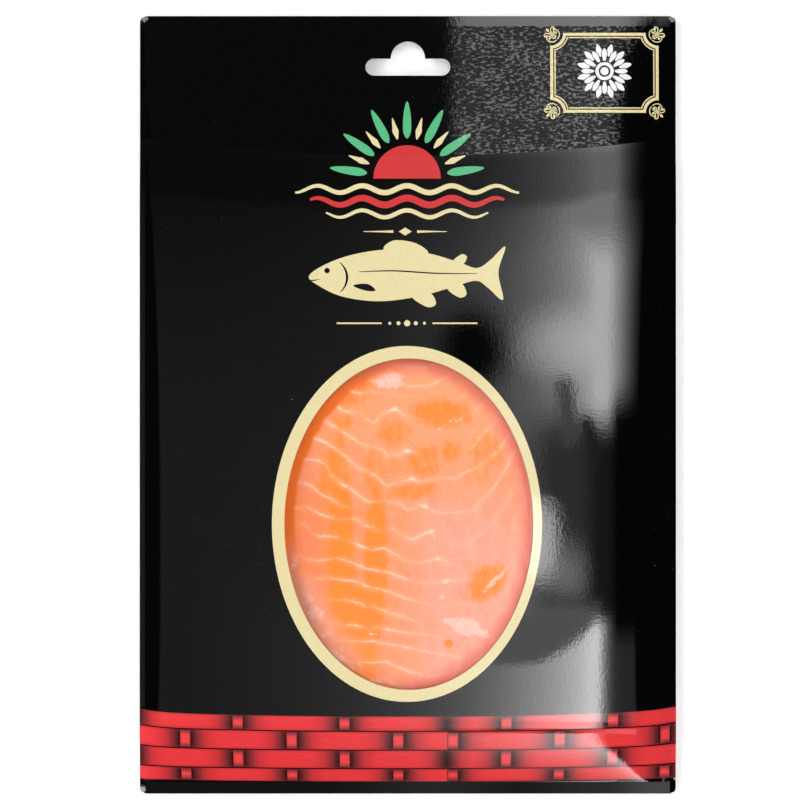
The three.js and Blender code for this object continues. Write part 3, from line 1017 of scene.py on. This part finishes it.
def muscle_bands(x, y):
    """A count of muscle bands that is whole on each white layer, the height of a band across its run, and
    how plain the nearest layer is."""
    heights, strengths = row_heights(x)
    last = len(heights) - 1
    phase = np.where(y > heights[0], (heights[0] - y) / BELOW_ROWS, last + (heights[-1] - y) / BELOW_ROWS)
    height = np.full_like(x, BELOW_ROWS)
    for k in range(last):
        inside = (y <= heights[k]) & (y > heights[k + 1])
        phase = np.where(inside, k + (heights[k] - y) / (heights[k] - heights[k + 1]), phase)
        height = np.where(inside, heights[k] - heights[k + 1], height)
    nearest = np.clip(np.round(phase), 0, last).astype(int)[None]
    slope = row_heights(x + 0.4)[0] - row_heights(x - 0.4)[0]
    steepness = np.take_along_axis(slope, nearest, 0)[0] / 0.8
    plain = np.take_along_axis(strengths, nearest, 0)[0]
    return phase, height / np.sqrt(1 + steepness ** 2), plain


def spots(x, y, places):
    """The strength of the strongest soft spot at each place."""
    strength = np.zeros_like(x)
    for centre_x, centre_y, half_x, half_y, degrees, most in places:
        moved = turned(np.stack([x.ravel() - centre_x, y.ravel() - centre_y], 1), -degrees)
        distance = np.hypot(moved[:, 0] / half_x, moved[:, 1] / half_y).reshape(x.shape)
        strength = np.maximum(strength, most * ramp(1.45 - distance * 0.9))
    return strength


def under_board(x, y):
    """The highest level that the slices reach, below the front board."""
    rightwards = clamp((x - WINDOW[0] + WINDOW[2]) / (2 * WINDOW[2]))
    slack = SLACK_LEFT + (SLACK_RIGHT - SLACK_LEFT) * rightwards
    return front_z(x, y) - BOARD - GAP - slack


def slice_end_x(y):
    edge = SLICE_EDGE
    return edge["x"] - np.sqrt(edge["radius"] ** 2 - (y - edge["y"]) ** 2)


def fullness(x, y):
    from_side = POUCH_HALF_WIDTH - SEAL_WIDTH - np.abs(x)
    from_end = np.minimum(POUCH_TOP - y, y - POUCH_BOTTOM) - SEAL_WIDTH
    return ramp(from_side / SHOULDER) * ramp(from_end / SHOULDER)


def pouch_bottom_z(x, y):
    return back_z(x, y) + BOARD + GAP


def slice_drop(x, y):
    return SLICE_EDGE["drop"] * ramp((slice_end_x(y) - x) / SLICE_EDGE["width"])


def between_faces(level, x, y):
    """Lets a level fall to the seal towards the pouch's edges."""
    seal = pouch_bottom_z(x, y) + SEAL_THICKNESS
    return seal + (level - seal) * fullness(x, y)


def flesh_relief(x, y):
    """Low ridges along the muscle bands."""
    phase = muscle_bands(x, y)[0]
    swell = random_waves(x, y, seed=5, count=6, lengths=(9, 26), height=0.012)
    return 0.035 * np.cos(2 * math.pi * phase) + swell


def film_z(x, y):
    """The upper film's outer face: drawn tight over the slices, with faint creases."""
    level = under_board(x, y) - slice_drop(x, y)
    crease = 0.02 * np.sin(x * 0.9 + 2.2 * np.sin(y * 0.11)) * np.sin(y * 0.23 + x * 0.06)
    past_end = ramp((slice_end_x(y) + 3 - x) / 4)
    wrinkle = 0.10 * past_end * np.sin(1.5 * x + 0.8 * y + 1.6 * np.sin(0.45 * x - 0.6 * y))
    return between_faces(level, x, y) + (crease + wrinkle) * fullness(x, y)


def slices_top_z(x, y):
    """The flesh's upper face: under the film, with its own relief."""
    level = under_board(x, y) - slice_drop(x, y) - FILM - RELIEF_ROOM + flesh_relief(x, y)
    return between_faces(level, x, y) - 0.02


def slab(name, x_lines, y_lines, top, bottom, material, attributes=None):
    """A closed body between a top and a bottom face, over a grid of lines."""
    x, y = np.meshgrid(x_lines, y_lines)
    upper, lower = [np.stack([x, y, face(x, y)], -1).reshape(-1, 3) for face in (top, bottom)]
    index = np.arange(x.size).reshape(x.shape)
    cells = np.stack([index[:-1, :-1], index[:-1, 1:], index[1:, 1:], index[1:, :-1]], -1).reshape(-1, 4)
    ring = np.concatenate([index[0, :-1], index[:-1, -1], index[-1, :0:-1], index[:0:-1, 0]])
    walls = np.stack([ring, ring + x.size, np.roll(ring, -1) + x.size, np.roll(ring, -1)], -1)
    faces = np.concatenate([cells, cells[:, ::-1] + x.size, walls])
    mesh = smooth_mesh(name, np.concatenate([upper, lower]), faces.tolist())
    for key, values in (attributes(x, y) if attributes else {}).items():
        layer = mesh.attributes.new(key, "FLOAT", "POINT")
        layer.data.foreach_set("value", np.tile(values.ravel(), 2).astype(np.float32))
    mesh.materials.append(material)
    return new_object(name, mesh)


def flesh_fields(x, y):
    """What the flesh's material needs to know about each place."""
    phase, height, plain = muscle_bands(x, y)
    knots = [(*star, 0.9, 0.7, 0, 1.0) for star in STARS]
    # pale: paler flesh, and painted sheen of the film
    return {"band": phase, "band_height": height, "plain": plain, "fat": spots(x, y, FAT_SPOTS),
            "pale": spots(x, y, PALE_AND_SHEEN_SPOTS), "star": spots(x, y, knots)}


def white_lines(tree, where, marks):
    """The thin white layers, and the paler flesh beside them."""
    wobble = (noise(tree, where, 2.4, 3.0, 0.6) - 0.5) * 1.5
    off_line = abs((marks["band"] - marks["band"].math("ROUND")) * marks["band_height"] + wobble)
    thickness = noise(tree, where, 1.7, 2.0) * 0.9 + marks["plain"] * 0.25
    broken = noise(tree, where, 3.0, 3.0).soft(0.32, 0.58)
    line = off_line.soft(thickness, thickness * 0.25) * marks["plain"] * broken
    return line, off_line.soft(2.2, 0.2) * marks["plain"]


def muscle_tints(tree, x, y, where, marks, fine):
    """Masks and colours of the flesh between its white layers, with pale patches that are partly painted
    film sheen.
    """
    clouds = noise(tree, where, 6, 4.0, 0.6)
    fat_edge = (noise(tree, point(tree, x, y / 1.8), 2.6, 4.0, 0.62) - 0.5) * 1.1 + marks["fat"]
    pale_and_sheen_edge = (noise(tree, where, 1.6, 4.0, 0.7) - 0.5) * 1.8 + marks["pale"]
    return [
        (x.soft(-44, -2), (263, 160, 110)),
        (x.soft(-6, 14) * y.soft(-20, -50), (263, 172, 146)),
        (y.soft(-46, -8) * 0.45, (263, 177, 126)),
        (x.soft(24, 46) * y.soft(-80, -16) * 0.85, (262, 145, 102)),
        (clouds.soft(0.5, 0.8) * 0.5, (262, 142, 94)),
        (clouds.soft(0.45, 0.2) * 0.5, (263, 182, 158)),
        (fat_edge.soft(0.12, 0.8), (262, 142, 18)),
        # Pale patches, partly painted film sheen
        (pale_and_sheen_edge.soft(0.35, 0.85) * 0.8, (262, 214, 202)),
        (fine.soft(0.42, 0.75) * 0.5, (262, 134, 98)),
        (fine.soft(0.48, 0.25) * 0.4, (263, 206, 182)),
    ]


def rim_shade_tints(tree, x, y, where):
    """Masks and colours towards the window's edge: muted towards the far left, the flesh's deeper orange
    along the upper left under painted shade of the board's cut edge, painted shade along the right and the
    top, and painted whitish sheen of the film at the lower left.
    """
    window_x = (x - WINDOW[0]) / WINDOW[2]
    window_y = (y - WINDOW[1]) / WINDOW[3]
    from_middle = (window_x * window_x + window_y * window_y).root()
    uneven = from_middle + (noise(tree, where, 5, 2.0) - 0.5) * 0.05
    # Painted shade, strongest at the window's cut edge
    rim_shade = uneven.soft(0.88, 0.985)
    return [
        # Muted and darker towards the far left
        (x.soft(-30, -38) * 0.4, (228, 135, 104)),
        # Deep orange band along the upper left: the flesh's deeper orange there, with painted shade of the
        # board's edge
        (uneven.soft(0.905, 0.94) * x.soft(6, -22) * y.soft(-62, -44), (262, 122, 0)),
        # Painted whitish sheen of the film over the lower left
        (uneven.soft(0.76, 0.92) * y.soft(-58, -68) * x.soft(-12, -24) * 0.5, (236, 172, 152)),
        # Painted shade of the board's edge along the right
        (rim_shade * x.soft(-24, 10) * 0.75, (226, 106, 94)),
        # Painted shade of the board's edge along the top
        (rim_shade * y.soft(-8, 12) * 0.4, (222, 110, 78)),
    ]


def flesh(name):
    """Cold-smoked salmon: translucent pink, orange where the fat lies, with thin white layers, and painted
    shade and painted film sheen towards the window's edge.
    """
    material, tree, shader = new_material(name)
    x, y, z = place(tree)
    where = point(tree, x, y, z)
    marks = {}
    for key in ("band", "band_height", "plain", "fat", "pale", "star"):
        marks[key] = Field(tree, add(tree, "ShaderNodeAttribute", attribute_name=key).outputs["Fac"])
    line, halo = white_lines(tree, where, marks)
    white = (line * 0.66 + halo * 0.22 + marks["star"] * 0.8).at_most(1.0)
    fine = noise(tree, point(tree, x * 1.3, y / 1.6), 0.55, 3.0, 0.75)
    tints = muscle_tints(tree, x, y, where, marks, fine)
    # The window's edge adds painted shade and painted film sheen
    tints += [(white, (255, 214, 186))] + rim_shade_tints(tree, x, y, where)
    height = noise(tree, where, 1.4, 3.0) * 0.03 + fine * 0.02 - line * 0.01
    set_inputs(tree, shader, {
        "Base Color": layered(tree, linear(262, 140, 72), tints),
        "Roughness": noise(tree, where, 1.5, 2.0) * 0.2 + 0.32, "Normal": bumped(tree, height * MM),
        "Subsurface Weight": 0.35, "Subsurface Radius": (1.0, 0.45, 0.25), "Subsurface Scale": 0.0025,
        "IOR": 1.38,
    })
    return material


def clear_film(name):
    """Clear film: what it reflects, over what shows through it."""
    material, tree, shader = new_material(name)
    x, y, z = place(tree)
    ripple = noise(tree, point(tree, x, y, z), 2.4, 3.0, 0.6)
    normal = bumped(tree, ripple * 0.06 * MM)
    set_inputs(tree, shader, {
        "Base Color": mix_colour(tree, ripple, linear(250, 250, 250), linear(226, 228, 230)),
        "Roughness": ripple * 0.1 + 0.08, "Metallic": 1.0, "Normal": normal,
    })
    fresnel = add(tree, "ShaderNodeFresnel", {"IOR": 1.5, "Normal": normal})
    facing = add(tree, "ShaderNodeNewGeometry")
    share = Field(tree, fresnel.outputs[0]) * (1 - Field(tree, facing.outputs["Backfacing"]))
    see_through = add(tree, "ShaderNodeBsdfTransparent")
    mixed = add(tree, "ShaderNodeMixShader", {0: share})
    tree.links.new(see_through.outputs[0], mixed.inputs[1])
    tree.links.new(shader.outputs[0], mixed.inputs[2])
    tree.links.new(mixed.outputs[0], tree.nodes["Material Output"].inputs["Surface"])
    return material


# ---- Stage ----

FLOOR_REACH = 6000
FLOOR_LEVEL = -0.3
CAMERA_PLACE = (-1.08, 0, 702)
LENS = 83.4
# Lights round the pack that leave no reflection: name, direction in degrees, brightness
FILLS = [
    ("upper_left", 150, 10.8), ("lower_left", 215, 6.9), ("upper_right", 50, 6.5), ("lower_right", 325, 5.0),
]


def floor():
    corners = np.array([(*quarter, 0) for quarter in QUARTERS]) * FLOOR_REACH + (0, 0, FLOOR_LEVEL)
    mesh = smooth_mesh("floor", corners, [(0, 1, 2, 3)])
    piece = new_object("floor", mesh)
    piece.visible_glossy = False
    material, tree, shader = new_material("pale_floor")
    x, y, z = place(tree)
    grain = noise(tree, point(tree, x, y, z), 40, 3.0)
    pale = (0.95, 0.95, 0.95, 1)
    set_inputs(tree, shader, {
        "Base Color": mix_colour(tree, grain, pale, (0.93, 0.935, 0.94, 1)), "Roughness": 0.9,
        "Specular IOR Level": 0.0, "Emission Color": pale, "Emission Strength": 0.18,
    })
    mesh.materials.append(material)


def soft_light(name, centre, size, brightness, aim=(0, 0, 0)):
    """A rectangular light of even brightness. centre, size and aim in metres."""
    data = bpy.data.lights.new(name, "AREA")
    data.shape = "RECTANGLE"
    data.size, data.size_y = size
    data.energy = brightness * math.pi * size[0] * size[1]
    light = new_object(name, data)
    light.location = centre
    light.rotation_euler = (Vector(aim) - Vector(centre)).to_track_quat("-Z", "Y").to_euler()
    light.visible_camera = False
    return light


def upper_strip(x, y):
    """The strip from the pack's middle to its far end: broad, and fading towards that end."""
    brightest = 9.8
    faded = ((y.at_most(385.0) - 215).at_least(0.0) / -180).exp()
    rise = (((x - 186) / 50).exp() * 10 + near_spot(x, y, (140, 118), (60, 62), 0.9) * 3.8) * faded
    fall = ((210 - x) / (66 - y.soft(230, 330) * 26)).exp() * 10
    cap = y.soft(262, 205) * 0.6 + 0.4 - y.soft(340, 420) * 0.12
    return rise.at_most(fall.at_most(brightest) * cap)


def lower_strip(x):
    """The strip near the pack's bottom edge: brighter, with a sharp right side and a dim edge beyond it."""
    brightest = 14.0
    fall = ((x - 188) / -12).exp() * 15 + x.soft(460, 400) * 0.4
    return (((x - 180) / 62).exp() * 15).at_most(fall).at_most(brightest)


def window_glow(x, y):
    """A window beyond the strip's far end, brighter to its right and dark along its top."""
    return (3.5 + (x - 40) * 0.007) * (1 - y.soft(600, 650) * 0.84) * x.soft(43, 49) * x.soft(245, 195)


def glow(x, y):
    """Brightness of the light above the pack: a strip to its right, a window at the strip's far end, and
    things in front of both with a brightness of their own."""
    strip = blend(upper_strip(x, y), lower_strip(x), y.soft(-60, -240))
    strip = blend(strip, window_glow(x, y), y.soft(468, 478))
    slanting = (x * 0.787 - y * 0.62).soft(276, 262)
    things_ahead = [  # shape and brightness, from the farthest to the nearest
        (near_spot(x, y, (61, 110), (46, 76), 0.7), 0.0),
        (x.soft(86, 132) * y.soft(62, 0) * y.soft(-222, -180), 0.55),
        (x.soft(150, 192) * y.soft(20, -20) * y.soft(-222, -180), 0.15),
        (near_line(x, y, (143, 72), (146, 0), 11), 1.1),
        (near_line(x, y, (169, 26), (184, -20), 12), 0.25),
        (near_spot(x, y, (142, -150), (42, 42), 0.9), 3.2),
        (near_spot(x, y, (119, -122), (24, 52), 0.6), 9.2),
        (slanting * x.soft(40, 75) * y.soft(-292, -272) * y.soft(-168, -205), 1.8),
        (x.soft(205, 262) * y.soft(88, 25) * y.soft(-262, -205), 0.0),
    ]
    light = strip + room_glow(x, y) * x.soft(330, 150)
    for shape, brightness in things_ahead:
        light = blend(light, brightness, shape)
    return light * (1 - x.soft(380, 560))


def room_glow(x, y):
    """The dim room to the left of the strip."""
    return (y.soft(420, -50) * 0.19 + 0.04) * x.soft(-1600, -1200)


def near_glow(x, y):
    """The strip's near end, which bends away to the right, and a darker bar across it."""
    bend = (-650 - y).at_least(0.0) / 550
    end = bend * bend * 110 + 196
    light = (((x - end) / 75).exp() * 11).at_most(9.0) * x.soft(end + 14, end - 14)
    bar = abs(x - 30).soft(110, 0) * 0.3 + x.soft(90, 200) * 0.45 + x.soft(195, 235) * 0.9 + 0.13
    return blend(light, bar, y.soft(-596, -612) * y.soft(-700, -684))


def glow_panel(name, left, right, bottom, top, pattern):
    """A light that faces down, a metre above the pack, with a pattern of brightness over it."""
    size = ((right - left) * MM, (top - bottom) * MM)
    centre = ((left + right) / 2 * MM, (bottom + top) / 2 * MM)
    light = soft_light(name, (*centre, 1.0), size, 1.0, aim=(*centre, 0))
    light.data.use_nodes = True
    tree = light.data.node_tree
    u, v, _ = parts(tree, Field(tree, add(tree, "ShaderNodeNewGeometry").outputs["Parametric"]))
    brightness = pattern(left + u * (right - left), bottom + v * (top - bottom))
    plug(tree, tree.nodes["Emission"].inputs["Strength"], brightness)


def studio():
    glow_panel("overhead_light", -900, 480, -520, 860, glow)
    glow_panel("left_light", -1600, -900, -520, 640, room_glow)
    glow_panel("near_light", -420, 420, -1500, -520, near_glow)
    away, up, side = 1.2, 0.7, 0.6
    for name, degrees, brightness in FILLS:
        angle = math.radians(degrees)
        centre = (away * math.cos(angle), away * math.sin(angle), up)
        fill = soft_light(name, centre, (side, side), brightness)
        fill.visible_glossy = False


def surroundings():
    """Dim walls that look white to the camera."""
    world = bpy.data.worlds.new("room")
    bpy.context.scene.world = world
    world.use_nodes = True
    tree = world.node_tree
    seen = Field(tree, add(tree, "ShaderNodeLightPath").outputs["Is Camera Ray"])
    walls = mix_colour(tree, seen, (0.02, 0.02, 0.02, 1), (0.98, 0.98, 0.98, 1))
    plug(tree, tree.nodes["Background"].inputs["Color"], walls)


def camera():
    data = bpy.data.cameras.new("camera")
    data.sensor_width = 36
    data.lens = LENS
    viewer = new_object("camera", data)
    viewer.location = [part * MM for part in CAMERA_PLACE]
    bpy.context.scene.camera = viewer


# ---- The pack ----

def build_sleeve():
    varnish = varnish_group()
    wear = wear_group()
    inks = [
        ("board_black", (0.0007, 0.0007, 0.0008, 1.0)), ("board_cream", linear(236, 222, 170)),
        ("board_red", linear(214, 62, 64)), ("board_green", linear(96, 192, 136)),
        ("board_white", linear(247, 248, 246)), ("board_weave", woven_band),
    ]
    materials = [varnished(name, ink, varnish, wear) for name, ink in inks] + [bare_board()]
    board = fold_board("printed_sleeve", materials)
    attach(board, "root")
    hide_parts("sleeve")


def pouch_grid(inset, coarse):
    """Lines across and along the pouch, an inset within its edges, closest together under the window."""
    side = POUCH_HALF_WIDTH - inset
    low, high = POUCH_BOTTOM + inset, POUCH_TOP - inset
    fine = 0.8
    x_lines = spread([(-side, -50, coarse), (-50, 50, fine), (50, side, coarse)])
    y_lines = spread([(low, -108, coarse), (-108, 20, fine), (20, high, coarse)])
    return x_lines, y_lines


def slices_bottom_z(x, y):
    return pouch_bottom_z(x, y) + 0.15


def build_pouch():
    within_seal = pouch_grid(inset=SEAL_WIDTH + 0.6, coarse=3)
    whole = pouch_grid(inset=0, coarse=2)
    pieces = [
        slab("stacked_slices", *within_seal, slices_top_z, slices_bottom_z, flesh("smoked_salmon"),
             flesh_fields),
        slab("film", *whole, film_z, pouch_bottom_z, clear_film("clear_film")),
    ]
    for piece in pieces:
        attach(piece, "root")
        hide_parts("pouch")


camera()
surroundings()
studio()
floor()
build_sleeve()
build_pouch()

bpy.context.scene.view_settings.view_transform = "Standard"
